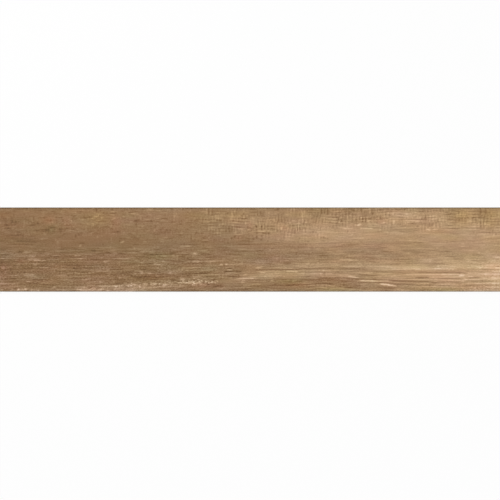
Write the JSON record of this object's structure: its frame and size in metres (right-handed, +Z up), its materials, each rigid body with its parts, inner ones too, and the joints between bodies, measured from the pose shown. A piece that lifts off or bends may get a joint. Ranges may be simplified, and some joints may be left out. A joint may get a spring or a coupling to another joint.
{
  "type": "wood look porcelain plank tile",
  "caption": "Long rectangular porcelain floor or wall tile with a bevelled, wood-printed face and a ribbed back that keys into adhesive.",
  "frame": {"origin": "middle of the back, on the plane of the back ribs", "axes": "+X along the plank, +Y across it, +Z up out of the printed face"},
  "size_m": [1.2, 0.2, 0.009],
  "materials": {
    "printed_porcelain": "matt glaze with a brown wood-grain print over a beige fired body"
  },
  "bodies": {
    "root": {"plank_tile": "printed_porcelain"}
  },
  "joints": []
}
